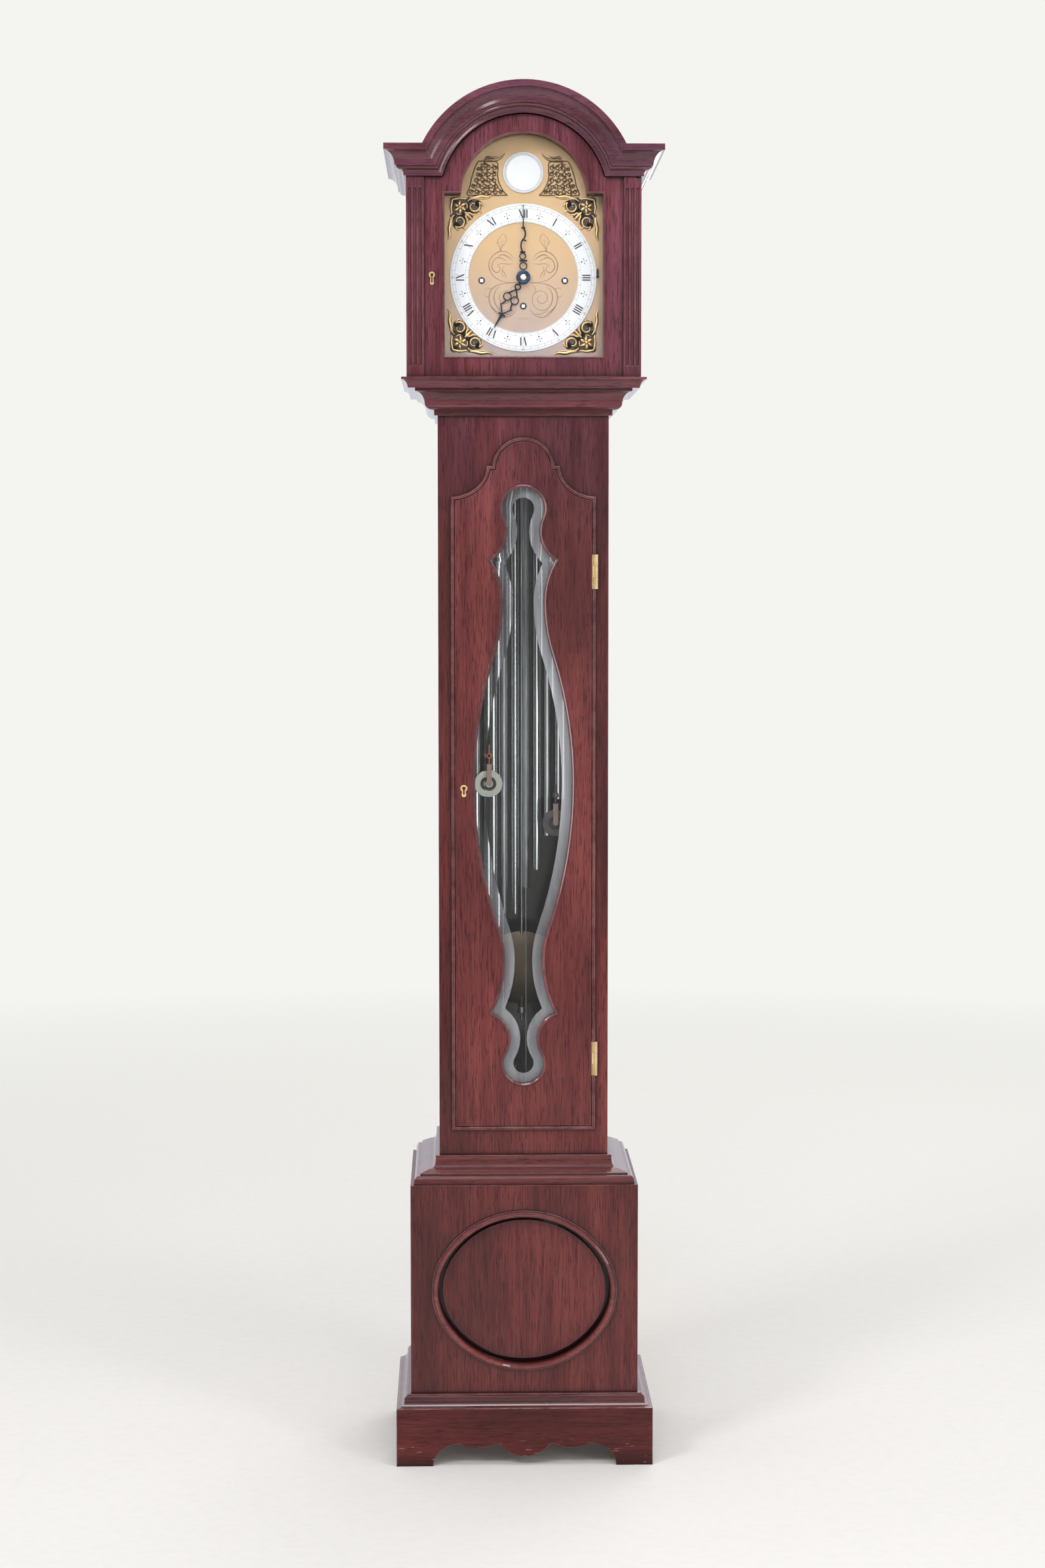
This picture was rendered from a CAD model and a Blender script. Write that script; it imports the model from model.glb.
import math

import bpy
from mathutils import Euler, Matrix, Vector


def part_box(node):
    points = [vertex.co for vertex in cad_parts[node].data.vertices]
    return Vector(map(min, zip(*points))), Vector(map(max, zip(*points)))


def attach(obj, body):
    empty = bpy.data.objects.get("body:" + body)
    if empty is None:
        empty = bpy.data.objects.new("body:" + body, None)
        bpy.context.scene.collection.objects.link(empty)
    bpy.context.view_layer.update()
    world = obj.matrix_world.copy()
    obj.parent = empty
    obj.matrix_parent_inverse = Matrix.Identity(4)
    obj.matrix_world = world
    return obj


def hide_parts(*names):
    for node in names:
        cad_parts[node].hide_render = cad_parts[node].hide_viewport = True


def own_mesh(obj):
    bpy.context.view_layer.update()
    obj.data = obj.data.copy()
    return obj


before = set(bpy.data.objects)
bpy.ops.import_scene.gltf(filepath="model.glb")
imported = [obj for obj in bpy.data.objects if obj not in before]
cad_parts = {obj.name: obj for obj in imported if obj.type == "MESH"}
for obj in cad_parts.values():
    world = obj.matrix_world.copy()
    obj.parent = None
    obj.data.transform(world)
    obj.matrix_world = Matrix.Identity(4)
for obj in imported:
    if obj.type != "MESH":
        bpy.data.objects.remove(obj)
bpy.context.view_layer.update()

# Places, in millimetres: x to the right, depth forward from the back plane, z up from the floor
BACK = 128.5
DIAL_Z = 1557.5
PLATE_D = 194.0
RING_D = 195.2
MINUTE_D = 199.2
BOSS_FACE_D = 196.6
WINDING = ((-54.0, -3.8), (0.0, -36.5), (54.0, -3.8))
RING_OUT = 95.0
BOSS_Z = 134.5
CABLE_D = 134.0
CABLE_R = 0.75

# Colours, linear
MAHOGANY_DARK = (0.018, 0.003, 0.004)
MAHOGANY_MID = (0.082, 0.01, 0.013)
MAHOGANY_LIGHT = (0.225, 0.049, 0.042)
MAHOGANY_EDGE = (0.5, 0.24, 0.22)
BLOOM = (0.25, 0.1, 0.22)
STAIN = (0.012, 0.008, 0.007)
CARCASE_DARK = (0.1, 0.052, 0.028)
CARCASE_LIGHT = (0.24, 0.14, 0.08)
GOLD_DARK = (0.12, 0.07, 0.025)
BRASS = (0.72, 0.5, 0.2)
SILVERED = (0.6, 0.6, 0.61)
STEEL = (0.42, 0.41, 0.39)
INK = (0.012, 0.012, 0.016)
ENGRAVED = (0.15, 0.09, 0.055)
FLOOR = (0.835, 0.81, 0.772)
WALL = (0.905, 0.905, 0.87)
ROOM = (0.9, 0.92, 1.0)
STRAP_TONE = (0.2, 0.14, 0.12)
SUNK_TONE = (0.02, 0.02, 0.02)
GREY_RIM = (0.3, 0.31, 0.27)
BLACK_RIM = (0.05, 0.045, 0.045)

# Surfaces: reach of the wood's dark hollows and of the worn edges in metres, and the wood's coat
HOLLOW_REACH = 0.026
WOOD_EDGE = 0.0012
METAL_EDGE = 0.0004
COAT_ROUGH = 0.09
WOOD_SPECULAR = 0.16

# The glass bevel, told from the flat sheet and its edge by the forward part of the normal
BEVEL_STOPS = ((0.93, 0.0), (0.95, 1.0), (0.992, 1.0), (0.996, 0.0))

# Radii and lifts of the dial's marks, in millimetres
EDGE_R = 94.0
MINUTE_OUT = 92.3
MINUTE_IN = 88.8
FIVE_OUT = 90.2
QUARTER_OUT = 75.2
QUARTER_IN = 71.9
MINUTE_FIGURE_R = 92.0
HOUR_LOW, HOUR_HIGH = 76.6, 87.4
HALF_LOW, HALF_MID, HALF_HIGH = 78.4, 81.6, 84.6
HALF_W = 3.0
RELIEF_LIFT = 0.3
MARK_LIFT = 0.06

# The minute figures' size in metres, and how much wider the engraved strokes are drawn
MINUTE_FIGURE_SIZE = 0.0036
ENGRAVING_WIDEN = 1.7

# Pulley places, in metres from the wheel's axis
HOOK_RISE = 0.0265
STRAP_OUT = 0.0043
SUNK_OUT = 0.0036
SUNK_R = (0.0048, 0.0096)

# The world: strength of its light, and of the room that reflections see, which runs from its
# first level to its second as a reflection turns from the front to the back of the clock
WORLD_LIGHT = 0.62
ROOM_FROM, ROOM_TO = -0.95, -0.35
ROOM_FRONT, ROOM_BACK = 0.28, 0.95

# Floor radius in metres, and the camera that was fitted to the photograph
FLOOR_R = 8.0
CAMERA_AT = (-0.0853, -3.6238, 1.1624)
CAMERA_TURN = (85.762, 0.03, -1.3546)
CAMERA_LENS = 62.268
FILM = 36


def place(x, d, z):
    """A point in metres from millimetres, with the depth counted from the back plane."""
    return Vector((x / 1000, (BACK - d) / 1000, z / 1000))


# ---------------------------------------------------------------- node tools

class Nodes:
    """A material and short calls that add nodes to it."""

    def __init__(self, name):
        self.mat = bpy.data.materials.new(name)
        self.mat.use_nodes = True
        self.tree = self.mat.node_tree
        self.tree.nodes.clear()
        self.out = self.tree.nodes.new("ShaderNodeOutputMaterial")
        self.bsdf = self.tree.nodes.new("ShaderNodeBsdfPrincipled")
        self.link(self.bsdf.outputs[0], self.out.inputs["Surface"])

    def link(self, a, b):
        self.tree.links.new(a, b)

    def feed(self, socket, value):
        if isinstance(value, bpy.types.NodeSocket):
            self.link(value, socket)
        elif isinstance(value, tuple) and len(value) == 3 and socket.type == "RGBA":
            socket.default_value = (*value, 1)
        else:
            socket.default_value = value

    def add(self, kind, settings=None, **inputs):
        made = self.tree.nodes.new("ShaderNode" + kind)
        for key, value in (settings or {}).items():
            setattr(made, key, value)
        for key, value in inputs.items():
            self.feed(made.inputs[key.replace("_", " ")], value)
        return made

    def math(self, op, *values, clamp=False):
        made = self.add("Math", {"operation": op, "use_clamp": clamp})
        for socket, value in zip(made.inputs, values):
            self.feed(socket, value)
        return made.outputs[0]

    def mix(self, factor, a, b, blend="MIX"):
        made = self.add("Mix", {"data_type": "RGBA", "blend_type": blend})
        self.feed(made.inputs[0], factor)
        self.feed(made.inputs[6], a)
        self.feed(made.inputs[7], b)
        return made.outputs[2]

    def blend(self, factor, a, b):
        made = self.add("Mix", {"data_type": "FLOAT"})
        for index, value in ((0, factor), (2, a), (3, b)):
            self.feed(made.inputs[index], value)
        return made.outputs[0]

    def ramp(self, value, *stops):
        """A grey ramp through (position, level) stops."""
        made = self.add("ValToRGB")
        self.feed(made.inputs[0], value)
        cells = made.color_ramp.elements
        while len(cells) < len(stops):
            cells.new(0.5)
        for cell, (at, level) in zip(cells, stops):
            cell.position = at
            cell.color = (level, level, level, 1)
        return made.outputs[0]

    def noise(self, vector, scale, detail=3.0, rough=0.55, distortion=0.0):
        made = self.add("TexNoise", Vector=vector, Scale=scale, Detail=detail, Roughness=rough,
                        Distortion=distortion)
        return made.outputs["Fac"]

    def split(self, vector):
        return self.add("SeparateXYZ", Vector=vector).outputs

    def join(self, x, y, z):
        return self.add("CombineXYZ", X=x, Y=y, Z=z).outputs[0]

    def where(self):
        return self.add("TexCoord").outputs["Object"]

    def normal(self):
        return self.add("TexCoord").outputs["Normal"]

    def wear(self, radius, low, high):
        """0 on flat places, 1 on outside and inside edges."""
        soft = self.add("Bevel", {"samples": 4}, Radius=radius).outputs[0]
        true = self.add("NewGeometry").outputs["Normal"]
        dot = self.add("VectorMath", {"operation": "DOT_PRODUCT"})
        self.link(soft, dot.inputs[0])
        self.link(true, dot.inputs[1])
        return soft, self.ramp(dot.outputs["Value"], (low, 1.0), (high, 0.0))

    def finish(self, color, rough, height=None, strength=0.2, distance=0.001, soft=None,
               **constants):
        self.feed(self.bsdf.inputs["Base Color"], color)
        self.feed(self.bsdf.inputs["Roughness"], rough)
        if height is not None:
            bump = self.add("Bump", Height=height, Strength=strength, Distance=distance)
            if soft is not None:
                self.link(soft, bump.inputs["Normal"])
            self.link(bump.outputs[0], self.bsdf.inputs["Normal"])
        elif soft is not None:
            self.link(soft, self.bsdf.inputs["Normal"])
        for key, value in constants.items():
            self.feed(self.bsdf.inputs[key.replace("_", " ")], value)
        return self.mat


# ---------------------------------------------------------------- materials

def grain_space(n, run):
    """Object coordinates turned so that z runs along the grain. run is x, y, z or case:
    case runs along x on faces that look forward and along y on those that look sideways."""
    x, y, z = n.split(n.where())
    if run == "z":
        return n.join(x, y, z)
    if run == "x":
        return n.join(z, y, x)
    if run == "y":
        return n.join(z, x, y)
    side = n.math("GREATER_THAN", n.math("ABSOLUTE", n.split(n.normal())[0]), 0.75)
    return n.join(z, n.blend(side, y, x), n.blend(side, x, y))


def wood(name, run, seed, dark, mid, light, gloss, inside=None, polish=0.8, bloom=0.0,
         scuffs=False):
    """Polished wood: broad cloud, stretched figure, fine grain lines, open pores and worn edges.
    bloom paints a cool cast on high places, which stands in for a reflection of the room."""
    n = Nodes(name)
    base = grain_space(n, run)
    place_in = n.add("VectorMath", {"operation": "ADD"})
    n.link(base, place_in.inputs[0])
    place_in.inputs[1].default_value = (seed * 0.37, seed * 0.21, seed * 1.3)
    base = place_in.outputs[0]

    def stretched(across, along):
        made = n.add("Mapping", Vector=base, Scale=(across, across, along))
        return made.outputs[0]

    cloud = n.noise(stretched(6, 1.8), 1.0, 3, 0.6)
    figure = n.noise(stretched(34, 2.0), 1.0, 4, 0.6, 0.7)
    lines = n.noise(stretched(460, 14), 1.0, 3, 0.6)
    pores = n.noise(stretched(820, 52), 1.0, 2, 0.5)
    tone = n.math("ADD", n.math("MULTIPLY", figure, 0.62), n.math("MULTIPLY", lines, 0.38))
    tone = n.ramp(tone, (0.33, 0.0), (0.66, 1.0))
    color = n.mix(tone, mid, light)
    color = n.mix(n.ramp(cloud, (0.36, 0.62), (0.62, 0.0)), color, dark)
    half_z = n.math("MULTIPLY", n.split(n.where())[2], 0.5)
    high = n.ramp(half_z, (0.6, 0.0), (0.78, bloom))
    veil = n.math("MULTIPLY", high, n.ramp(figure, (0.35, 0.3), (0.6, 1.0)))
    color = n.mix(veil, color, BLOOM)
    pit = n.ramp(pores, (0.36, 1.0), (0.46, 0.0))
    color = n.mix(n.math("MULTIPLY", pit, 0.6), color, dark)
    hollow = n.add("AmbientOcclusion", {"samples": 8}, Distance=HOLLOW_REACH).outputs["AO"]
    color = n.mix(n.ramp(hollow, (0.4, 0.96), (0.93, 0.0)), color, dark)
    soft, edge = n.wear(WOOD_EDGE, 0.86, 0.985)
    chip = n.ramp(n.noise(n.where(), 46, 3, 0.6), (0.34, 0.16), (0.62, 0.8))
    open_side = n.ramp(hollow, (0.45, 0.0), (0.75, 1.0))
    rubbed = n.math("MULTIPLY", n.math("MULTIPLY", edge, chip), open_side)
    color = n.mix(rubbed, color, MAHOGANY_EDGE)
    if scuffs:
        slant = n.add("Mapping", Vector=n.where(), Rotation=(0.0, 0.5, 0.0), Scale=(60, 60, 420))
        near_floor = n.math("MULTIPLY_ADD", n.split(n.where())[2], -28.0, 1.1, clamp=True)
        mark = n.ramp(n.noise(slant.outputs[0], 1.0, 2, 0.5), (0.66, 0.0), (0.7, 1.0))
        color = n.mix(n.math("MULTIPLY", mark, near_floor), color, MAHOGANY_EDGE)
    if inside is not None:
        color = n.mix(inside(n), color, STAIN)
    rough = n.blend(cloud, gloss, gloss + 0.16)
    height = n.math("SUBTRACT", n.math("MULTIPLY", lines, 0.4), n.math("MULTIPLY", pit, 0.6))
    return n.finish(color, rough, height, 0.12, 0.0003, soft, Coat_Weight=polish,
                    Coat_Roughness=COAT_ROUGH, Specular_IOR_Level=WOOD_SPECULAR)


def inner_faces(limit):
    """Factor for the stained inside faces of boards that stand at both sides."""
    def factor(n):
        x = n.math("ABSOLUTE", n.split(n.where())[0])
        return n.math("LESS_THAN", x, limit)
    return factor


def front_faces(n):
    """Factor for the stained face of a board that looks forward."""
    return n.math("LESS_THAN", n.split(n.normal())[1], -0.5)


def metal(name, color, rough, wear_tone=None, turned=False, metallic=1.0, tip=None):
    """Metal with uneven tarnish. A turned piece has rings round the dial's centre, and in front
    of y = tip the metal is bright steel."""
    n = Nodes(name)
    spot = n.where()
    x, y, z = n.split(spot)
    if turned:
        dz = n.math("SUBTRACT", z, DIAL_Z / 1000)
        square = n.math("ADD", n.math("MULTIPLY", x, x), n.math("MULTIPLY", dz, dz))
        across = n.math("SQRT", square)
        lines = n.noise(n.join(n.math("MULTIPLY", across, 2600), 0.0, 0.0), 1.0, 2, 0.5)
    else:
        lines = n.noise(spot, 900, 2, 0.5)
    blotch = n.noise(spot, 22, 4, 0.6)
    tone = wear_tone or tuple(c * 0.5 for c in color)
    mixed = n.mix(n.ramp(blotch, (0.42, 0.5), (0.68, 0.0)), color, tone)
    mixed = n.mix(n.math("MULTIPLY", lines, 0.22), mixed, tone)
    if tip is not None:
        mixed = n.mix(n.math("LESS_THAN", y, tip), mixed, (0.8, 0.8, 0.82))
    soft, _ = n.wear(METAL_EDGE, 0.9, 0.99)
    worn = n.blend(n.ramp(blotch, (0.3, 0.0), (0.7, 1.0)), rough, rough + 0.14)
    return n.finish(mixed, worn, lines, 0.08, 0.0002, soft, Metallic=metallic)


def relief_metal(name, color, dark):
    """Cast and gilded ornament: bright on top, dark in the hollows."""
    n = Nodes(name)
    hollow = n.add("AmbientOcclusion", {"samples": 6}, Distance=0.0022).outputs["AO"]
    grime = n.ramp(hollow, (0.42, 0.0), (0.86, 1.0))
    speck = n.noise(n.where(), 1200, 2, 0.6)
    mixed = n.mix(grime, dark, n.mix(n.ramp(speck, (0.4, 0.35), (0.6, 0.0)), color, dark))
    return n.finish(mixed, n.blend(speck, 0.26, 0.42), speck, 0.3, 0.0002, Metallic=1.0)


def ink(name, color, rough=0.55):
    """Filled engraving, a little uneven in depth of tone."""
    n = Nodes(name)
    speck = n.noise(n.where(), 700, 3, 0.6)
    pale = tuple(min(1, c * 2.4 + 0.01) for c in color)
    mixed = n.mix(n.ramp(speck, (0.35, 0.45), (0.7, 0.0)), color, pale)
    return n.finish(mixed, rough, speck, 0.1, 0.0001)


def glass(name):
    """Sheet glass with a ground bevel, whose paleness is painted: a diffuse share that is
    stronger at the right and low down. Light for shadows passes straight through the sheet."""
    n = Nodes(name)
    ripple = n.noise(n.where(), 9, 2, 0.5)
    n.finish((1, 1, 1), 0.02, ripple, 0.02, 0.001, Transmission_Weight=1.0, IOR=1.33)
    true = n.add("NewGeometry").outputs["True Normal"]
    turned = n.add("VectorTransform", {"vector_type": "NORMAL", "convert_from": "WORLD",
                                       "convert_to": "OBJECT"})
    n.link(true, turned.inputs[0])
    ahead = n.math("ABSOLUTE", n.split(turned.outputs[0])[1])
    slope = n.ramp(ahead, *BEVEL_STOPS)
    drawn = n.add("Mapping", Vector=n.where(), Scale=(30, 30, 5)).outputs[0]
    streak = n.noise(drawn, 1.0, 3, 0.6)
    pale = n.add("BsdfDiffuse", Color=(0.66, 0.67, 0.7))
    bevel = n.add("MixShader")
    x, _, z = n.split(n.where())
    right = n.math("MULTIPLY_ADD", x, 9.0, 0.45, clamp=True)
    below = n.math("MULTIPLY_ADD", z, -4.0, 3.4, clamp=True)
    strong = n.math("MAXIMUM", n.math("MULTIPLY", right, 0.9),
                    n.math("MULTIPLY", below, 0.8))
    strong = n.math("MULTIPLY", strong, n.ramp(streak, (0.3, 0.3), (0.7, 0.75)))
    n.link(n.math("MULTIPLY", slope, strong), bevel.inputs[0])
    n.link(n.bsdf.outputs[0], bevel.inputs[1])
    n.link(pale.outputs[0], bevel.inputs[2])
    clear = n.add("BsdfTransparent", Color=(0.97, 0.985, 0.98))
    ray = n.add("LightPath").outputs["Is Shadow Ray"]
    pick = n.add("MixShader")
    n.link(ray, pick.inputs[0])
    n.link(bevel.outputs[0], pick.inputs[1])
    n.link(clear.outputs[0], pick.inputs[2])
    n.link(pick.outputs[0], n.out.inputs["Surface"])
    return n.mat


def dial_plate_metal(name):
    """Pale brass sheet, rubbed upright: painted cooler low down and browner at the sides."""
    n = Nodes(name)
    spot = n.where()
    fine = n.add("Mapping", Vector=spot, Scale=(1700, 1700, 9)).outputs[0]
    broad = n.add("Mapping", Vector=spot, Scale=(26, 26, 2.4)).outputs[0]
    lines = n.noise(fine, 1.0, 3, 0.6)
    drift = n.noise(broad, 1.0, 2, 0.5)
    x, _, z = n.split(spot)
    low = n.math("MULTIPLY", n.math("SUBTRACT", 1.6, z), 7.5, clamp=True)
    color = n.mix(low, (0.45, 0.295, 0.14), (0.25, 0.22, 0.25))
    past = n.math("SUBTRACT", n.math("ABSOLUTE", x), 0.03)
    side = n.math("MULTIPLY", past, 11.0, clamp=True)
    color = n.mix(n.math("MULTIPLY", side, 0.6), color, (0.4, 0.26, 0.15))
    color = n.mix(n.ramp(drift, (0.35, 0.3), (0.65, 0.0)), color, (0.46, 0.32, 0.2))
    color = n.mix(n.math("MULTIPLY", lines, 0.3), color, (0.36, 0.24, 0.14))
    return n.finish(color, 0.44, lines, 0.14, 0.0002, Metallic=0.45)


def pulley_metal(name):
    """Speckled metal in the tones that tint_pulleys gives to wheel, sunk ring, strap and hook."""
    n = Nodes(name)
    speck = n.noise(n.where(), 600, 3, 0.6)
    tone = n.add("Attribute", {"attribute_name": "tone"}).outputs["Color"]
    color = n.mix(n.math("MULTIPLY", speck, 0.35), tone, (0.05, 0.04, 0.035))
    soft, _ = n.wear(0.0005, 0.9, 0.99)
    return n.finish(color, n.blend(speck, 0.3, 0.5), speck, 0.15, 0.0002, soft, Metallic=0.75)


def cable_metal(name):
    """Wire rope: the lay of the strands as slanted ridges."""
    n = Nodes(name)
    x, _, z = n.split(n.where())
    lay = n.math("SINE", n.math("ADD", n.math("MULTIPLY", z, 2100), n.math("MULTIPLY", x, 2600)))
    grey = n.ramp(lay, (0.1, 0.16), (0.9, 0.62))
    return n.finish(grey, 0.34, lay, 0.6, 0.0002, Metallic=0.85)


def paint_cad(materials):
    """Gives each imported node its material."""
    for name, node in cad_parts.items():
        node.data.materials.clear()
        node.data.materials.append(materials[name])


def shade(obj, angle=32):
    """Smooth faces with sharp edges kept."""
    for p in obj.data.polygons:
        p.use_smooth = True
    obj.data.set_sharp_from_angle(angle=math.radians(angle))


# ---------------------------------------------------------------- mesh tools

def make(name, verts, faces, material, body):
    mesh = bpy.data.meshes.new(name)
    mesh.from_pydata([tuple(v) for v in verts], [], faces)
    mesh.update()
    obj = bpy.data.objects.new(name, mesh)
    bpy.context.scene.collection.objects.link(obj)
    mesh.materials.append(material)
    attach(obj, body)
    return obj


class Flat:
    """Thin marks on a plane of constant depth, in dial millimetres."""

    def __init__(self, depth):
        self.depth = depth
        self.verts = []
        self.faces = []

    def face(self, points):
        area = sum(a[0] * b[1] - b[0] * a[1]
                   for a, b in zip(points, points[1:] + points[:1]))
        if area < 0:
            points = points[::-1]
        first = len(self.verts)
        self.verts += [place(x, self.depth, DIAL_Z + z) for x, z in points]
        self.faces.append(tuple(range(first, first + len(points))))

    def line(self, p, q, w0, w1=None):
        w1 = w0 if w1 is None else w1
        dx, dz = q[0] - p[0], q[1] - p[1]
        size = math.hypot(dx, dz) or 1
        nx, nz = -dz / size, dx / size
        self.face([(p[0] + nx * w0 / 2, p[1] + nz * w0 / 2),
                   (q[0] + nx * w1 / 2, q[1] + nz * w1 / 2),
                   (q[0] - nx * w1 / 2, q[1] - nz * w1 / 2),
                   (p[0] - nx * w0 / 2, p[1] - nz * w0 / 2)])

    def ring(self, centre, r, w, steps=180):
        for i in range(steps):
            a, b = math.tau * i / steps, math.tau * (i + 1) / steps
            self.face([(centre[0] + (r + s * w / 2) * math.sin(t),
                        centre[1] + (r + s * w / 2) * math.cos(t))
                       for s, t in ((1, a), (1, b), (-1, b), (-1, a))])

    def dot(self, centre, r, steps=14):
        self.face([(centre[0] + r * math.cos(math.tau * i / steps),
                    centre[1] + r * math.sin(math.tau * i / steps)) for i in range(steps)])

    def stroke(self, points, widths):
        """A smooth line through points whose width runs through widths."""
        path = smooth(points, 7)
        for i in range(len(path) - 1):
            t0, t1 = i / (len(path) - 1), (i + 1) / (len(path) - 1)
            self.line(path[i], path[i + 1], level(widths, t0), level(widths, t1))

    def build(self, name, material, slot="blued_steel"):
        return make(name, self.verts, self.faces, material, "case")


def level(values, t):
    """Value at share t along a list of values."""
    at = t * (len(values) - 1)
    i = min(int(at), len(values) - 2)
    return values[i] + (values[i + 1] - values[i]) * (at - i)


def smooth(points, steps):
    """A curve through all the points."""
    pts = [points[0]] + list(points) + [points[-1]]
    path = []
    for i in range(1, len(pts) - 2):
        p0, p1, p2, p3 = pts[i - 1:i + 3]
        for s in range(steps):
            t = s / steps
            path.append(tuple(
                0.5 * (2 * p1[k] + (p2[k] - p0[k]) * t
                       + (2 * p0[k] - 5 * p1[k] + 4 * p2[k] - p3[k]) * t * t
                       + (3 * p1[k] - p0[k] - 3 * p2[k] + p3[k]) * t ** 3) for k in range(2)))
    path.append(tuple(points[-1]))
    return path


def mirrored(points):
    return [(-x, z) for x, z in points]


class Relief:
    """Domed strokes that rise from a plane of constant depth."""

    def __init__(self, depth):
        self.depth = depth
        self.verts = []
        self.faces = []

    def sweep(self, points, widths, height, steps=6, sides=5):
        path = smooth(points, steps)
        first = len(self.verts)
        count = sides + 1
        for i, (x, z) in enumerate(path):
            t = i / (len(path) - 1)
            ahead = path[min(i + 1, len(path) - 1)]
            behind = path[max(i - 1, 0)]
            dx, dz = ahead[0] - behind[0], ahead[1] - behind[1]
            size = math.hypot(dx, dz) or 1
            nx, nz = -dz / size, dx / size
            w = max(level(widths, t), 0.05) / 2
            h = height * min(1, w / (max(widths) / 2) + 0.25)
            for k in range(count):
                a = math.pi * k / sides
                side, up = math.cos(a) * w, math.sin(a) * h
                self.verts.append(place(x + nx * side, self.depth + up, DIAL_Z + z + nz * side))
        for i in range(len(path) - 1):
            for k in range(sides):
                a = first + i * count + k
                self.faces.append((a, a + 1, a + count + 1, a + count))
        self.faces.append(tuple(first + k for k in range(count))[::-1])
        last = first + (len(path) - 1) * count
        self.faces.append(tuple(last + k for k in range(count)))

    def spiral(self, centre, r, turns, start, w, height, grow=0.22):
        pts = []
        steps = max(8, int(turns * 12))
        for i in range(steps + 1):
            t = i / steps
            a = start + turns * math.tau * t
            rr = r * (1 - (1 - grow) * t)
            pts.append((centre[0] + rr * math.cos(a), centre[1] + rr * math.sin(a)))
        self.sweep(pts, [w, w, w * 0.7], height, 2, 4)
        self.ball(pts[-1], w * 0.75, height)

    def ball(self, centre, r, height, rings=3, around=10):
        first = len(self.verts)
        self.verts.append(place(centre[0], self.depth + height, DIAL_Z + centre[1]))
        for i in range(1, rings + 1):
            a = math.pi / 2 * i / rings
            for k in range(around):
                b = math.tau * k / around
                self.verts.append(place(centre[0] + r * math.sin(a) * math.cos(b),
                                        self.depth + height * math.cos(a),
                                        DIAL_Z + centre[1] + r * math.sin(a) * math.sin(b)))
        for k in range(around):
            self.faces.append((first, first + 1 + k, first + 1 + (k + 1) % around))
        for i in range(rings - 1):
            for k in range(around):
                a, b = first + 1 + i * around + k, first + 1 + i * around + (k + 1) % around
                self.faces.append((a, a + around, b + around, b))

    def build(self, name, material, slot="dial_brass"):
        obj = make(name, self.verts, self.faces, material, "case")
        shade(obj, 60)
        return obj


# ---------------------------------------------------------------- dial

ROMAN = ["XII", "I", "II", "III", "IIII", "V", "VI", "VII", "VIII", "IX", "X", "XI"]
GLYPH_W = {"I": 3.0, "V": 6.4, "X": 6.6}
THICK = 1.75
THIN = 0.42


def around(angle, u, r):
    """A dial point r out from the centre at an angle from twelve, and u to that line's right."""
    s, c = math.sin(angle), math.cos(angle)
    return (r * s + u * c, r * c - u * s)


def numerals(marks):
    """Roman hour figures whose feet point to the centre."""
    for hour, word in enumerate(ROMAN):
        angle = math.tau * hour / 12
        total = sum(GLYPH_W[c] for c in word)

        def stroke(start, end, w, angle=angle):
            marks.line(around(angle, *start), around(angle, *end), w)

        u = -total / 2
        for c in word:
            w = GLYPH_W[c]
            mid = u + w / 2
            if c == "I":
                stroke((mid, HOUR_LOW), (mid, HOUR_HIGH), THICK)
            elif c == "V":
                stroke((u + 1.0, HOUR_HIGH), (mid + 0.2, HOUR_LOW), THICK)
                stroke((u + w - 0.9, HOUR_HIGH), (mid + 0.5, HOUR_LOW), THIN)
            else:
                stroke((u + 1.0, HOUR_HIGH), (u + w - 1.0, HOUR_LOW), THICK)
                stroke((u + w - 1.0, HOUR_HIGH), (u + 1.0, HOUR_LOW), THIN)
            u += w


def tracks(marks):
    """Minute track, quarter-hour track and the half-hour marks between the figures."""
    for r, w in ((EDGE_R, 0.1), (MINUTE_OUT, 0.26), (MINUTE_IN, 0.26), (QUARTER_OUT, 0.24),
                 (QUARTER_IN, 0.24)):
        marks.ring((0, 0), r, w)
    for minute in range(60):
        a = math.tau * minute / 60
        w, top = (0.5, FIVE_OUT) if minute % 5 == 0 else (0.34, MINUTE_OUT)
        marks.line(around(a, 0, MINUTE_IN), around(a, 0, top), w)
    for quarter in range(48):
        a = math.tau * quarter / 48
        marks.line(around(a, 0, QUARTER_IN), around(a, 0, QUARTER_OUT), 0.3)
    for half in range(12):
        a = math.tau * (half + 0.5) / 12
        marks.line(around(a, 0, HALF_LOW), around(a, 0, HALF_HIGH), 0.24)
        marks.line(around(a, -HALF_W, HALF_MID), around(a, HALF_W, HALF_MID), 0.24)
        for u, r, size in ((0, 84.7, 0.7), (-3.1, HALF_MID, 0.7), (3.1, HALF_MID, 0.7),
                           (0, 78.3, 1.0)):
            marks.dot(around(a, u, r), size)


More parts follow.
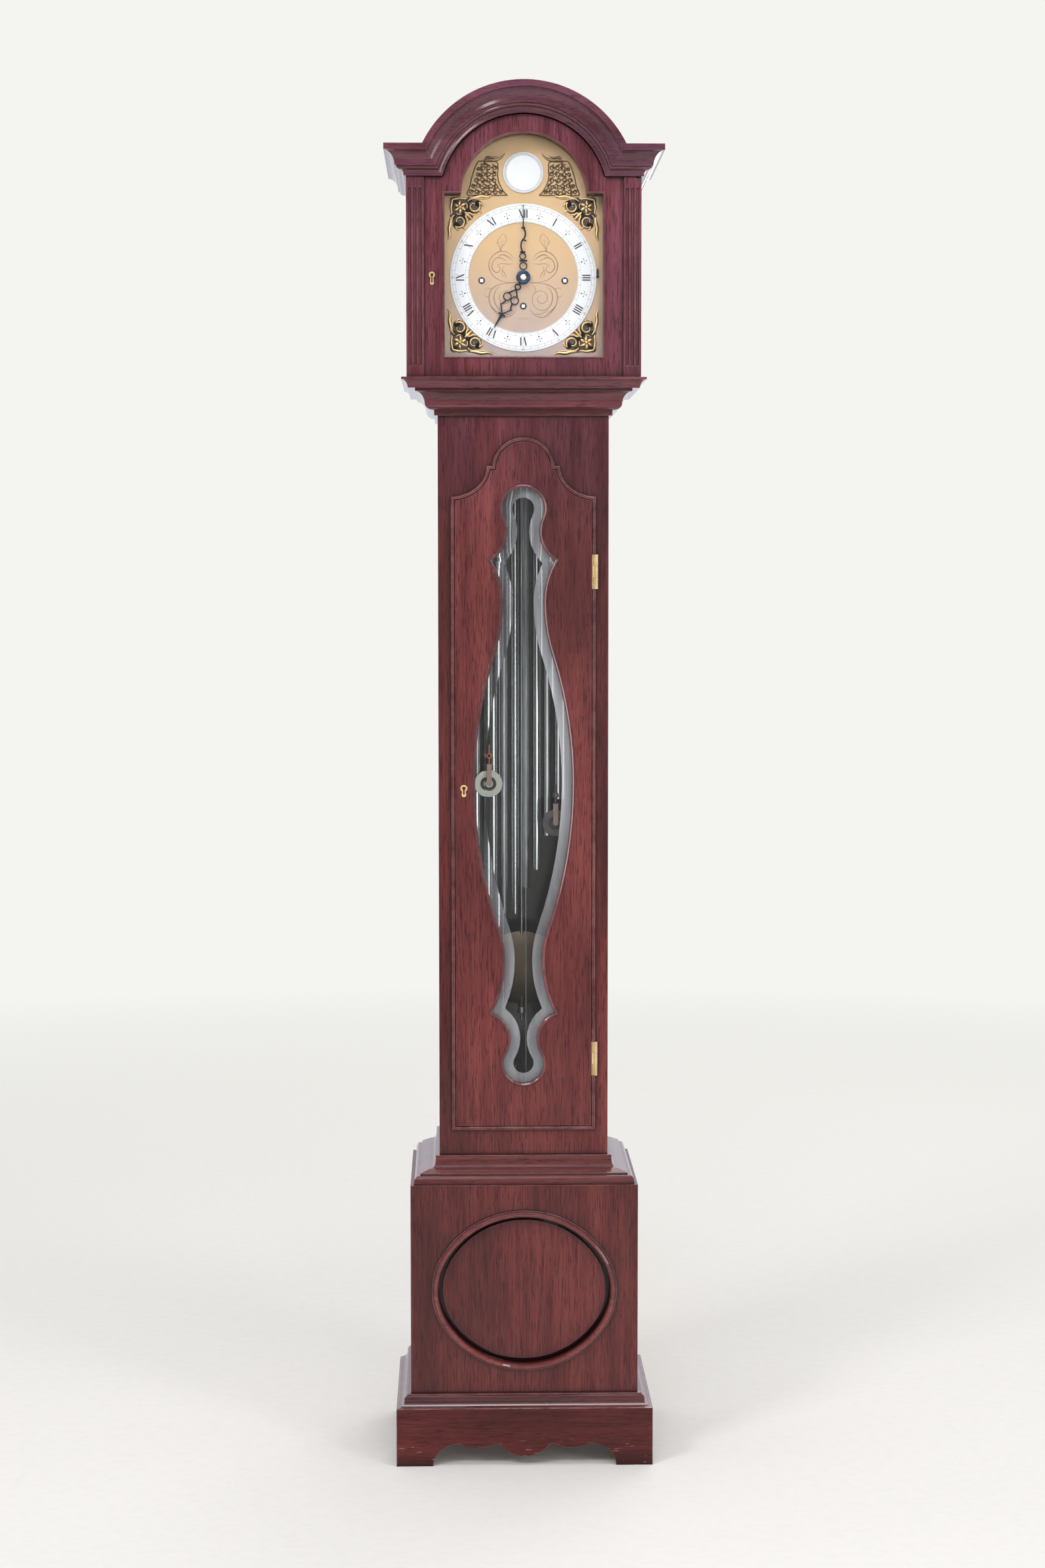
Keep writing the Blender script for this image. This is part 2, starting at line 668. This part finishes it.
def minute_figures(material):
    """Small arabic figures at every five minutes, feet to the centre."""
    for hour in range(12):
        value = 60 if hour == 0 else hour * 5
        curve = bpy.data.curves.new(f"figure_{value}", "FONT")
        curve.body = str(value)
        curve.size = MINUTE_FIGURE_SIZE
        curve.align_x = "CENTER"
        curve.align_y = "CENTER"
        text = bpy.data.objects.new(f"figure_{value}", curve)
        bpy.context.scene.collection.objects.link(text)
        angle = math.tau * hour / 12
        turn = Matrix.Rotation(angle, 4, "Y") @ Matrix.Rotation(math.pi / 2, 4, "X")
        spot = place(MINUTE_FIGURE_R * math.sin(angle), RING_D + 0.07,
                     DIAL_Z + MINUTE_FIGURE_R * math.cos(angle))
        bpy.context.view_layer.update()
        graph = bpy.context.evaluated_depsgraph_get()
        mesh = bpy.data.meshes.new_from_object(text.evaluated_get(graph))
        bpy.data.objects.remove(text)
        obj = bpy.data.objects.new(f"minute_figure_{value}", mesh)
        bpy.context.scene.collection.objects.link(obj)
        mesh.transform(Matrix.Translation(spot) @ turn)
        mesh.materials.clear()
        mesh.materials.append(material)
        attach(obj, "case")


def engraving(marks):
    """Leafy scrolls cut in the dial's centre, the same on both sides."""
    strokes = [
        ([(12, 24), (18, 31), (27, 34), (36, 31), (43, 23), (44.5, 14), (41, 5), (33, -2),
          (23, -5.5), (9, -6.5)],
         [0.2, 0.5, 0.9, 0.6, 0.9, 0.7, 0.5, 0.3]),
        ([(14, 22), (20, 27), (27, 29.5), (33, 27)], [0.2, 0.9, 1.0, 0.2]),
        ([(21, 21), (28, 25), (35, 25), (40, 19), (40.5, 12), (36, 7), (31, 8), (30, 13),
          (33.5, 15)],
         [0.2, 0.8, 0.6, 0.9, 0.7, 0.5, 0.3]),
        ([(13, 18), (20, 17.5), (28, 18), (34, 16.5)], [0.2, 0.5, 0.4, 0.2]),
        ([(30, 34), (27, 40), (22, 47), (23, 53), (26, 57)], [0.6, 0.4, 0.4, 0.5, 0.2]),
        ([(30, 34), (31, 41), (34, 45), (31, 51), (26, 57)], [0.5, 0.4, 0.5, 0.4, 0.2]),
        ([(30, 36), (28, 44), (27, 51)], [0.3, 0.3, 0.15]),
        ([(25, 43), (28, 41)], [0.3, 0.2]),
        ([(24, 48), (27.5, 46)], [0.3, 0.2]),
        ([(33, 44), (29.5, 46.5)], [0.3, 0.2]),
        ([(22, -1), (24, 5), (27, 10), (25, 15)], [0.3, 0.6, 0.5, 0.2]),
        ([(26, 1), (28, 6), (27, 10)], [0.3, 0.5, 0.2]),
        ([(9, -6.5), (20, -7), (32, -9), (41, -15), (44.5, -25), (42, -36), (34, -46),
          (25, -51), (15, -48), (9, -41)],
         [0.2, 0.5, 0.8, 0.9, 0.7, 0.9, 0.7, 0.4]),
        ([(30, -10), (36, -17), (38, -26), (35, -36), (27, -42), (18, -40), (12, -32),
          (13, -22), (20, -17), (27, -18)],
         [0.2, 0.6, 0.9, 0.8, 0.6, 0.5, 0.5, 0.6, 0.3]),
        ([(27, -18), (31, -23), (30, -30), (24, -33), (19, -30), (19, -25), (23, -23)],
         [0.3, 0.6, 0.6, 0.5, 0.4, 0.3]),
        ([(41, -15), (46, -13), (50, -15)], [0.5, 0.4, 0.15]),
        ([(44, -25), (49, -24), (51, -20)], [0.5, 0.4, 0.15]),
        ([(42, -36), (38, -41), (30, -46)], [0.3, 0.7, 0.2]),
        ([(14, -46), (20, -47), (27, -45), (33, -40)], [0.2, 0.7, 0.6, 0.2]),
        ([(12, -10), (16, -14), (14, -19)], [0.3, 0.5, 0.2]),
        ([(3, -52.5), (9, -53)], [0.3, 0.2]),
    ]
    for points, widths in strokes:
        wide = [w * ENGRAVING_WIDEN for w in widths]
        marks.stroke(points, wide)
        marks.stroke(mirrored(points), wide)
    marks.line((-4, -51.5), (4, -51.5), 0.35)
    marks.line((-3, -53.6), (3, -53.6), 0.35)


CORNER_TOP = (82.3, 90.6)
CORNER_LOW = (82.3, 83.5)


def corner_relief(relief, sx, sz):
    """One corner casting round its rosette: scrolls at both sides, an inner leaf and two long
    outer leaves."""
    mid = CORNER_TOP if sz > 0 else CORNER_LOW

    def p(x, z):
        return (sx * (mid[0] + x), sz * (mid[1] + z))

    def cut(points, widths, height):
        relief.sweep([p(*q) for q in points], widths, height)

    def both(points, widths, height):
        cut(points, widths, height)
        cut([(z, x) for x, z in points], widths, height)

    for k in range(6):
        a = math.tau * k / 6 + 0.3
        cut([(1.6 * math.cos(a), 1.6 * math.sin(a)),
             (4.6 * math.cos(a + 0.1), 4.6 * math.sin(a + 0.1)),
             (8.4 * math.cos(a + 0.24), 8.4 * math.sin(a + 0.24))], [2.2, 5.0, 2.2], 2.2)
    relief.ball(p(0, 0), 3.0, 3.0)
    relief.ball(p(-1.6, -1.2), 1.5, 3.4)
    both([(-8, 9.8), (-2, 11.2), (4, 10.6), (9.6, 9.4)], [1.6, 3.0, 3.4, 2.6], 1.9)
    both([(10.6, 6), (11.8, 0.5), (10.6, -5), (11.4, -10)], [2.4, 2.8, 2.6, 1.4], 1.7)
    for swap in (False, True):
        def q(x, z, swap=swap):
            return (z, x) if swap else (x, z)
        ring = []
        for k in range(15):
            a = math.radians(140 + 24 * k)
            r = 8.2 - 0.36 * k
            ring.append(q(-18.6 + r * math.cos(a), 0.6 + r * math.sin(a)))
        cut(ring, [1.8, 3.0, 2.8, 2.4, 2.0, 1.6], 2.0)
        cut([q(-18.2, 0.6), q(-18.0, 0.9)], [3.4, 3.2], 2.4)
        cut([q(-10.4, 6.6), q(-13, 9.4), q(-18, 10.6), q(-23.5, 9.2)], [1.4, 2.6, 2.4, 0.9], 1.8)
        cut([q(-25.4, 5.2), q(-28.6, 3.6), q(-30.2, 0.2)], [2.2, 2.6, 0.8], 1.6)
        cut([q(-25, -4), q(-28, -6.4), q(-27, -9)], [2.2, 2.2, 0.7], 1.5)
        cut([q(-14, -8.4), q(-18, -9.8), q(-22.5, -9)], [2.0, 2.2, 0.8], 1.5)
        leaf = [q(-13, 11.6), q(-20, 12.0), q(-28, 13.6), q(-36, 13.0), q(-43, 15.4)]
        cut(leaf, [1.4, 4.2, 4.6, 3.6, 0.8], 2.1)
        cut([q(-15, 10.4), q(-24, 10.6), q(-33, 10.8), q(-40, 12.0)], [0.8, 1.8, 1.6, 0.5], 1.5)
    cut([(-6.5, -6.5), (-10, -10), (-13.4, -13.4), (-16.4, -16.4)], [2.4, 4.4, 3.4, 1.0], 2.2)
    both([(-8, -8.4), (-13.6, -8.2), (-17, -11.6)], [1.8, 3.0, 1.0], 1.8)
    both([(-7.6, 5.2), (-9.6, 2.2), (-9.4, -1.8)], [1.4, 2.2, 1.2], 1.6)


def corner_back(flat, sx, sz):
    """The dark recessed web between the strokes of a corner casting."""
    mid = CORNER_TOP if sz > 0 else CORNER_LOW
    blobs = [(0, 0, 12.2), (-18.6, 0.6, 9.6), (0.6, -18.6, 9.6), (-10.5, -10.5, 7.4),
             (-24, 4, 4.4), (4, -24, 4.4), (8, 8, 4.8), (-12, 9, 4), (9, -12, 4)]
    for x, z, r in blobs:
        flat.dot((sx * (mid[0] + x), sz * (mid[1] + z)), r, 28)


def arch_relief(relief, side):
    """A pierced fret beside the boss: a border round a net of small scrolls, and a curled leaf
    on top."""
    def swept(points, widths, height, *detail):
        relief.sweep([(side * x, z) for x, z in points], widths, height, *detail)

    border = [(20.6, 105.6), (34, 105.4), (50, 105.4), (64, 105.4), (72.4, 106), (71.4, 111),
              (68.6, 117.5), (67.4, 124), (65.4, 131), (63.2, 138), (60.2, 145), (57, 149),
              (47, 148.2), (38.4, 148.4), (33.4, 147), (32.6, 139), (33.2, 132), (32.4, 125),
              (29.4, 117.4), (25.4, 110.4), (20.6, 105.6)]
    swept(border, [1.3, 1.5, 1.3], 1.4, 4, 4)
    cells = [(29, 109.4, 2.6), (36, 109.8, 3.4), (44, 109.6, 3.5), (52, 109.6, 3.5),
             (60, 109.6, 3.4), (67.4, 109.8, 3.0),
             (34.6, 117, 3.2), (42.4, 117.4, 3.5), (50.4, 117.2, 3.5), (58.2, 117.4, 3.4),
             (64.6, 117, 2.6),
             (37.4, 124.8, 3.3), (45.2, 125, 3.5), (53, 125, 3.5), (60.6, 124.6, 3.2),
             (37.2, 132.6, 3.1), (44.8, 132.8, 3.5), (52.4, 132.6, 3.4), (59, 132, 2.7),
             (37, 140.4, 3.1), (44.4, 140.6, 3.4), (51.8, 140.4, 3.4), (58, 139.4, 2.2),
             (50, 145.6, 1.8)]
    for i, (x, z, r) in enumerate(cells):
        relief.spiral((side * x, z), r, 1.2, i * 1.3, 1.35, 1.5, 0.4)
    for (x0, z0, r0), (x1, z1, r1) in zip(cells, cells[1:]):
        if abs(z0 - z1) < 2:
            swept([(x0 + r0 * 0.9, z0), ((x0 + x1) / 2, (z0 + z1) / 2 + 0.8), (x1 - r1 * 0.9, z1)],
                  [1.0, 1.6, 1.0], 1.3, 2, 4)
            swept([(x0, z0 + r0), (x0 + 1.6, z0 + 4), (x0 + 3.4, z0 + 5.4)],
                  [1.2, 1.5, 0.7], 1.3, 2, 4)
    swept([(52, 149.6), (44, 151), (36, 150.6), (29, 153.4), (23.6, 159)],
          [1.2, 3.4, 4.0, 3.0, 0.8], 2.0)
    swept([(50, 152.4), (45, 154.6), (39, 153.6), (33, 155.8)], [0.8, 2.2, 2.2, 0.6], 1.7)
    relief.spiral((side * 46, 152.6), 3.0, 1.1, 0.6, 1.3, 1.6, 0.4)


def build_dial(mats):
    marks = Flat(RING_D + MARK_LIFT)
    numerals(marks)
    tracks(marks)
    marks.build("ring_figures", mats["ink"])
    minute_figures(mats["ink"])
    cut = Flat(PLATE_D + 0.05)
    engraving(cut)
    cut.build("centre_engraving", mats["engraved"], slot="dial_brass")
    relief = Relief(PLATE_D + RELIEF_LIFT)
    fret = Relief(PLATE_D + RELIEF_LIFT)
    web = Flat(PLATE_D + RELIEF_LIFT)
    for sx in (-1, 1):
        for sz in (-1, 1):
            corner_relief(relief, sx, sz)
            corner_back(web, sx, sz)
        arch_relief(fret, sx)
    fret.build("arch_frets", mats["fret"])
    made = relief.build("spandrel_castings", mats["spandrel"])
    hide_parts("dial_spandrels")
    keep_outside(made, RING_OUT + 0.8)
    under = web.build("spandrel_webs", mats["web"], slot="dial_brass")
    keep_outside(under, RING_OUT + 0.6)
    rims = Flat(PLATE_D + 0.25)
    for x, z in WINDING:
        rims.ring((x, z), 3.75, 1.5, 40)
        rims.dot((x, z), 3.2, 30)
    rims.build("winding_hole_rims", mats["enamel"], slot="blued_steel")
    boss_marks = Flat(BOSS_FACE_D + MARK_LIFT)
    boss_marks.ring((0, BOSS_Z), 24.2, 0.4)
    boss_marks.ring((0, BOSS_Z), 22.9, 0.2)
    boss_marks.build("boss_lines", mats["ink"], slot="silvered_ring")


def keep_outside(obj, radius):
    """Holds a piece clear of the chapter ring."""
    for v in obj.data.vertices:
        x, z = v.co.x * 1000, v.co.z * 1000 - DIAL_Z
        r = math.hypot(x, z)
        if r < radius:
            v.co.x = x * radius / r / 1000
            v.co.z = (DIAL_Z + z * radius / r) / 1000


def build_collet(mats):
    """The domed blued collar that holds the minute hand, with the bright end of the arbor in it."""
    collar = [(9.1, 0.0), (9.0, 0.9), (8.2, 1.7), (7.0, 2.0), (5.6, 1.7), (4.7, 1.0), (4.3, 0.6)]
    arbor = [(4.3, 0.5), (3.6, 1.5), (2.2, 2.0), (0.7, 2.1), (0.5, 1.7), (0.05, 1.6)]
    lathe("minute_collet", MINUTE_D, collar, mats["collet"], "minute_hand")
    lathe("arbor_end", MINUTE_D, arbor, mats["bright"], "minute_hand")


def lathe(name, depth, profile, material, body, steps=72):
    """A turned piece at the dial's centre: its profile is of radii and heights before a depth."""
    verts = []
    faces = []
    for r, h in profile:
        for k in range(steps):
            a = math.tau * k / steps
            verts.append(place(r * math.cos(a), depth + h, DIAL_Z + r * math.sin(a)))
    for i in range(len(profile) - 1):
        for k in range(steps):
            a, b = i * steps + k, i * steps + (k + 1) % steps
            faces.append((a, b, b + steps, a + steps))
    faces.append(tuple((len(profile) - 1) * steps + k for k in range(steps)))
    shade(make(name, verts, faces, material, body), 40)


# ---------------------------------------------------------------- cables

def tube(name, x, z0, z1, material, rings=48, sides=10):
    """An upright run of cable with rings along it, so that it can shorten."""
    verts = []
    faces = []
    for i in range(rings + 1):
        z = z0 + (z1 - z0) * i / rings
        for k in range(sides):
            a = math.tau * k / sides
            verts.append(place(x + CABLE_R * math.cos(a), CABLE_D + CABLE_R * math.sin(a), z))
    for i in range(rings):
        for k in range(sides):
            a, b = i * sides + k, i * sides + (k + 1) % sides
            faces.append((b, a, a + sides, b + sides))
    faces.append(tuple(range(sides)))
    faces.append(tuple(rings * sides + k for k in range(sides))[::-1])
    obj = make(name, verts, faces, material, "case")
    shade(obj, 50)
    return obj


def build_cables(mats):
    """Cable runs between the seatboard and the pulleys, which shorten as the pulleys rise."""
    for side in ("left", "centre", "right"):
        node = f"cable_{side}"
        low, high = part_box(node)
        xs = (low.x * 1000 + CABLE_R, high.x * 1000 - CABLE_R)
        for k, x in enumerate(xs):
            piece = tube(f"{node}_run_{k + 1}", x, low.z * 1000, high.z * 1000, mats["cable"])
            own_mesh(piece)
            if k == 0:
                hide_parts(node)


# ---------------------------------------------------------------- pulley tones

def tint_pulleys():
    """Vertex tones that tell wheel, sunk ring, strap and hook apart."""
    for side, hook, rim in (("left", (0.34, 0.12, 0.06), GREY_RIM),
                            ("centre", (0.2, 0.16, 0.13), GREY_RIM),
                            ("right", (0.1, 0.07, 0.06), BLACK_RIM)):
        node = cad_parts[f"pulley_{side}"]
        low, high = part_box(f"pulley_{side}")
        cx = (low.x + high.x) / 2
        wheel_r = (high.x - low.x) / 2
        cz = low.z + wheel_r
        cy = (low.y + high.y) / 2
        tones = node.data.color_attributes.new("tone", "FLOAT_COLOR", "CORNER")
        for poly in node.data.polygons:
            c = poly.center
            r = math.hypot(c.x - cx, c.z - cz)
            if c.z > cz + HOOK_RISE:
                tone = hook
            elif abs(c.y - cy) > STRAP_OUT:
                tone = STRAP_TONE
            elif SUNK_R[0] < r < SUNK_R[1] and abs(c.y - cy) < SUNK_OUT:
                tone = SUNK_TONE
            else:
                tone = rim
            for corner in poly.loop_indices:
                tones.data[corner].color = (*tone, 1)


# ---------------------------------------------------------------- studio

def build_floor():
    """A pale floor that fades out towards its rim."""
    n = Nodes("studio_floor")
    speck = n.noise(n.where(), 60, 5, 0.7)
    x, y, _ = n.split(n.where())
    far = n.math("SQRT", n.math("ADD", n.math("MULTIPLY", x, x), n.math("MULTIPLY", y, y)))
    fade = n.ramp(n.math("DIVIDE", far, FLOOR_R), (0.09, 0.0), (0.52, 1.0))
    patch = n.math("MULTIPLY", n.ramp(speck, (0.45, 0.0), (0.75, 1.0)), 0.16)
    n.finish(n.mix(patch, FLOOR, (0.62, 0.6, 0.57)), 0.8, Specular_IOR_Level=0.2)
    clear = n.add("BsdfTransparent")
    pick = n.add("MixShader")
    n.link(fade, pick.inputs[0])
    n.link(n.bsdf.outputs[0], pick.inputs[1])
    n.link(clear.outputs[0], pick.inputs[2])
    n.link(pick.outputs[0], n.out.inputs["Surface"])
    steps = 48
    rim = [(FLOOR_R * math.cos(math.tau * k / steps), FLOOR_R * math.sin(math.tau * k / steps),
            -0.0002) for k in range(steps)]
    mesh = bpy.data.meshes.new("floor")
    mesh.from_pydata(rim, [], [tuple(range(steps))])
    floor = bpy.data.objects.new("floor", mesh)
    mesh.materials.append(n.mat)
    bpy.context.scene.collection.objects.link(floor)


def background(tree, color, strength=1.0):
    made = tree.nodes.new("ShaderNodeBackground")
    made.inputs[0].default_value = (*color, 1)
    made.inputs[1].default_value = strength
    return made


def build_world():
    """White light on the surfaces, the wall behind for camera and glass, and for reflections a
    bluish room that is darker in front of the clock."""
    world = bpy.data.worlds.new("studio")
    bpy.context.scene.world = world
    world.use_nodes = True
    tree = world.node_tree
    tree.nodes.clear()
    out = tree.nodes.new("ShaderNodeOutputWorld")
    light = background(tree, (1.0, 1.0, 1.0), WORLD_LIGHT)
    seen = background(tree, WALL)
    room = background(tree, ROOM)
    way = tree.nodes.new("ShaderNodeTexCoord")
    parts = tree.nodes.new("ShaderNodeSeparateXYZ")
    turn = tree.nodes.new("ShaderNodeMapRange")
    for socket, value in zip(turn.inputs[1:5], (ROOM_FROM, ROOM_TO, ROOM_FRONT, ROOM_BACK)):
        socket.default_value = value
    path = tree.nodes.new("ShaderNodeLightPath")
    first = tree.nodes.new("ShaderNodeMath")
    first.operation = "MAXIMUM"
    mirror = tree.nodes.new("ShaderNodeMixShader")
    mix = tree.nodes.new("ShaderNodeMixShader")
    for a, b in ((way.outputs["Generated"], parts.inputs[0]),
                 (parts.outputs["Y"], turn.inputs[0]),
                 (turn.outputs[0], room.inputs[1]),
                 (path.outputs["Is Camera Ray"], first.inputs[0]),
                 (path.outputs["Is Transmission Ray"], first.inputs[1]),
                 (path.outputs["Is Glossy Ray"], mirror.inputs[0]),
                 (light.outputs[0], mirror.inputs[1]),
                 (room.outputs[0], mirror.inputs[2]),
                 (first.outputs[0], mix.inputs[0]),
                 (mirror.outputs[0], mix.inputs[1]),
                 (seen.outputs[0], mix.inputs[2]),
                 (mix.outputs[0], out.inputs[0])):
        tree.links.new(a, b)


def lamp(name, spot, aim, size, power, color=(1, 1, 1)):
    """An area lamp: places and size in metres, power in watts."""
    data = bpy.data.lights.new(name, "AREA")
    data.color = color
    data.shape = "RECTANGLE"
    data.size, data.size_y = size
    data.energy = power
    obj = bpy.data.objects.new(name, data)
    bpy.context.scene.collection.objects.link(obj)
    obj.location = spot
    obj.rotation_euler = (Vector(aim) - Vector(spot)).to_track_quat("-Z", "Y").to_euler()


def build_lights():
    """Key, fill, top and rear light. The bluish window and the narrow strip make highlights."""
    lamp("key", (-2.2, -2.6, 3.1), (0, 0, 1.0), (0.9, 0.9), 46)
    lamp("fill", (2.4, -2.6, 1.5), (0, 0, 0.8), (0.9, 2.2), 26)
    lamp("window", (-0.4, -3.6, 4.0), (0, 0, 1.3), (1.6, 0.5), 35, (0.72, 0.82, 1.0))
    lamp("strip", (0.66, -4.0, 1.2), (0, 0, 1.1), (0.2, 2.0), 13)
    lamp("top", (0.2, -0.9, 3.6), (0, 0, 0.8), (1.6, 0.4), 19)
    lamp("rear", (1.2, 2.6, 2.4), (0, 0, 1.0), (2.0, 2.0), 24)


def build_camera():
    data = bpy.data.cameras.new("camera")
    data.sensor_fit = "VERTICAL"
    data.sensor_height = FILM
    data.sensor_width = FILM
    data.lens = CAMERA_LENS
    data.clip_start = 0.05
    data.clip_end = 60
    obj = bpy.data.objects.new("camera", data)
    bpy.context.scene.collection.objects.link(obj)
    obj.location = CAMERA_AT
    obj.rotation_euler = Euler([math.radians(turn) for turn in CAMERA_TURN])
    bpy.context.scene.camera = obj


# ---------------------------------------------------------------- the clock

def mahogany(name, run, seed, gloss=0.3, inside=None, deep=1.0, polish=0.4, bloom=0.2,
             scuffs=False):
    """Red stained mahogany. A deep below 1 is a darker stain, above 1 a brighter one."""
    tones = [tuple(c * deep ** (1.0 if k == 0 else 1.6) for k, c in enumerate(tone))
             for tone in (MAHOGANY_DARK, MAHOGANY_MID, MAHOGANY_LIGHT)]
    return wood(name, run, seed, *tones, gloss, inside, polish, bloom, scuffs)


def case_woods():
    """The wood of each packed board and moulding, by node."""
    upright = {
        "base_front_board": 2, "base_oval_panel": 3, "base_sides": 4, "hood_sides": 6,
        "hood_door": 7, "hood_pilasters": 8, "hood_dial_mask": 9,
    }
    lying = {
        "waist_moulding": 11, "base_cap_moulding": 12, "plinth_moulding": 13,
        "hood_base_frame": 15, "hood_frieze": 16,
    }
    carcase = {"base_floor": "x", "seatboard": "x", "hood_roof": "y"}
    plain = (CARCASE_DARK, CARCASE_DARK, CARCASE_LIGHT)
    mats = {name: mahogany(name + "_wood", "z", seed) for name, seed in upright.items()}
    for name, seed in lying.items():
        mats[name] = mahogany(name + "_wood", "case", seed, polish=0.9)
    mats["trunk_front_frame"] = mahogany("trunk_front_frame_wood", "z", 1, deep=1.1)
    mats["trunk_door"] = mahogany("trunk_door_wood", "z", 5, deep=1.15)
    mats["hood_cornice"] = mahogany("hood_cornice_wood", "case", 17, polish=0.9, bloom=0.24)
    mats["trunk_cheeks"] = mahogany("trunk_cheeks_wood", "z", 21, inside=inner_faces(0.108))
    mats["trunk_glass_bead"] = mahogany("glass_bead_wood", "z", 22, 0.24, deep=1.15, polish=0.9)
    mats["foot_skirt"] = mahogany("foot_skirt_wood", "case", 14, 0.4, deep=0.7, polish=0.25,
                                  scuffs=True)
    mats["base_oval_moulding"] = mahogany("oval_moulding_wood", "x", 23, 0.24, polish=0.9)
    mats["backboard"] = wood("backboard_wood", "z", 24, *plain, 0.6, front_faces)
    for name, run in carcase.items():
        mats[name] = wood(name + "_wood", run, 25, *plain, 0.6)
    return mats


def case_metals():
    """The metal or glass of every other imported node, by node."""
    dial = dial_plate_metal("dial_plate_brass")
    silver = metal("silvered_brass", SILVERED, 0.5, (0.55, 0.55, 0.56), turned=True, metallic=0.1)
    brass = metal("polished_brass", BRASS, 0.24)
    winder = metal("barrel_brass", BRASS, 0.24, tip=-0.0605)
    bronze = metal("bronzed_bob", (0.1, 0.075, 0.05), 0.36, (0.04, 0.03, 0.022))
    fitting = metal("case_brass", (0.9, 0.66, 0.34), 0.36, (0.45, 0.28, 0.12), metallic=0.6)
    steel = metal("satin_steel", STEEL, 0.34)
    blued = metal("blued_steel", (0.02, 0.025, 0.05), 0.25, (0.008, 0.008, 0.012))
    chrome = metal("plated_tube", (0.94, 0.98, 1.0), 0.13, (0.86, 0.9, 0.92), metallic=0.92)
    pane = glass("sheet_glass")
    cable = cable_metal("wire_rope")
    wheel = pulley_metal("pulley_metal")
    by_material = (
        (dial, "dial_plate dial_spandrels"),
        (silver, "arch_boss chapter_ring"),
        (brass, "movement_frame drive_weights centre_wheel escape_wheel"),
        (winder, "barrel_left barrel_centre barrel_right"),
        (bronze, "pendulum_bob hood_door_pivots hood_pivot_plates"),
        (fitting, "trunk_hinge_case_leaves trunk_hinge_door_leaves trunk_escutcheon"
                  " hood_escutcheon"),
        (steel, "trunk_lock trunk_lock_bolt pendulum_rod pallets chime_rack chime_hammers"),
        (wheel, "pulley_left pulley_centre pulley_right"),
        (blued, "minute_hand hour_hand strike_lever"),
        (chrome, "chime_tubes"),
        (cable, "cable_tops cable_left cable_centre cable_right"),
        (pane, "trunk_door_glass hood_door_glass"),
    )
    return {name: made for made, names in by_material for name in names.split()}


def main():
    mats = {**case_woods(), **case_metals()}
    paint_cad(mats)
    tint_pulleys()
    extra = {
        "ink": ink("figure_ink", INK),
        "engraved": ink("engraved_line", ENGRAVED),
        "spandrel": relief_metal("cast_gilt", (0.75, 0.52, 0.24), GOLD_DARK),
        "fret": relief_metal("cast_fret", (0.36, 0.25, 0.13), (0.05, 0.03, 0.015)),
        "web": ink("casting_shadow", (0.03, 0.018, 0.012), 0.7),
        "enamel": ink("black_enamel", (0.006, 0.006, 0.008), 0.3),
        "collet": metal("blued_collet", (0.035, 0.07, 0.16), 0.22, (0.01, 0.012, 0.03),
                        turned=True),
        "bright": metal("arbor_brass", (0.85, 0.8, 0.62), 0.3, (0.55, 0.45, 0.25)),
        "cable": mats["cable_tops"],
    }
    build_dial(extra)
    build_collet(extra)
    build_cables(extra)
    build_floor()
    build_world()
    build_lights()
    build_camera()


main()
bpy.context.scene.view_settings.view_transform = "Standard"
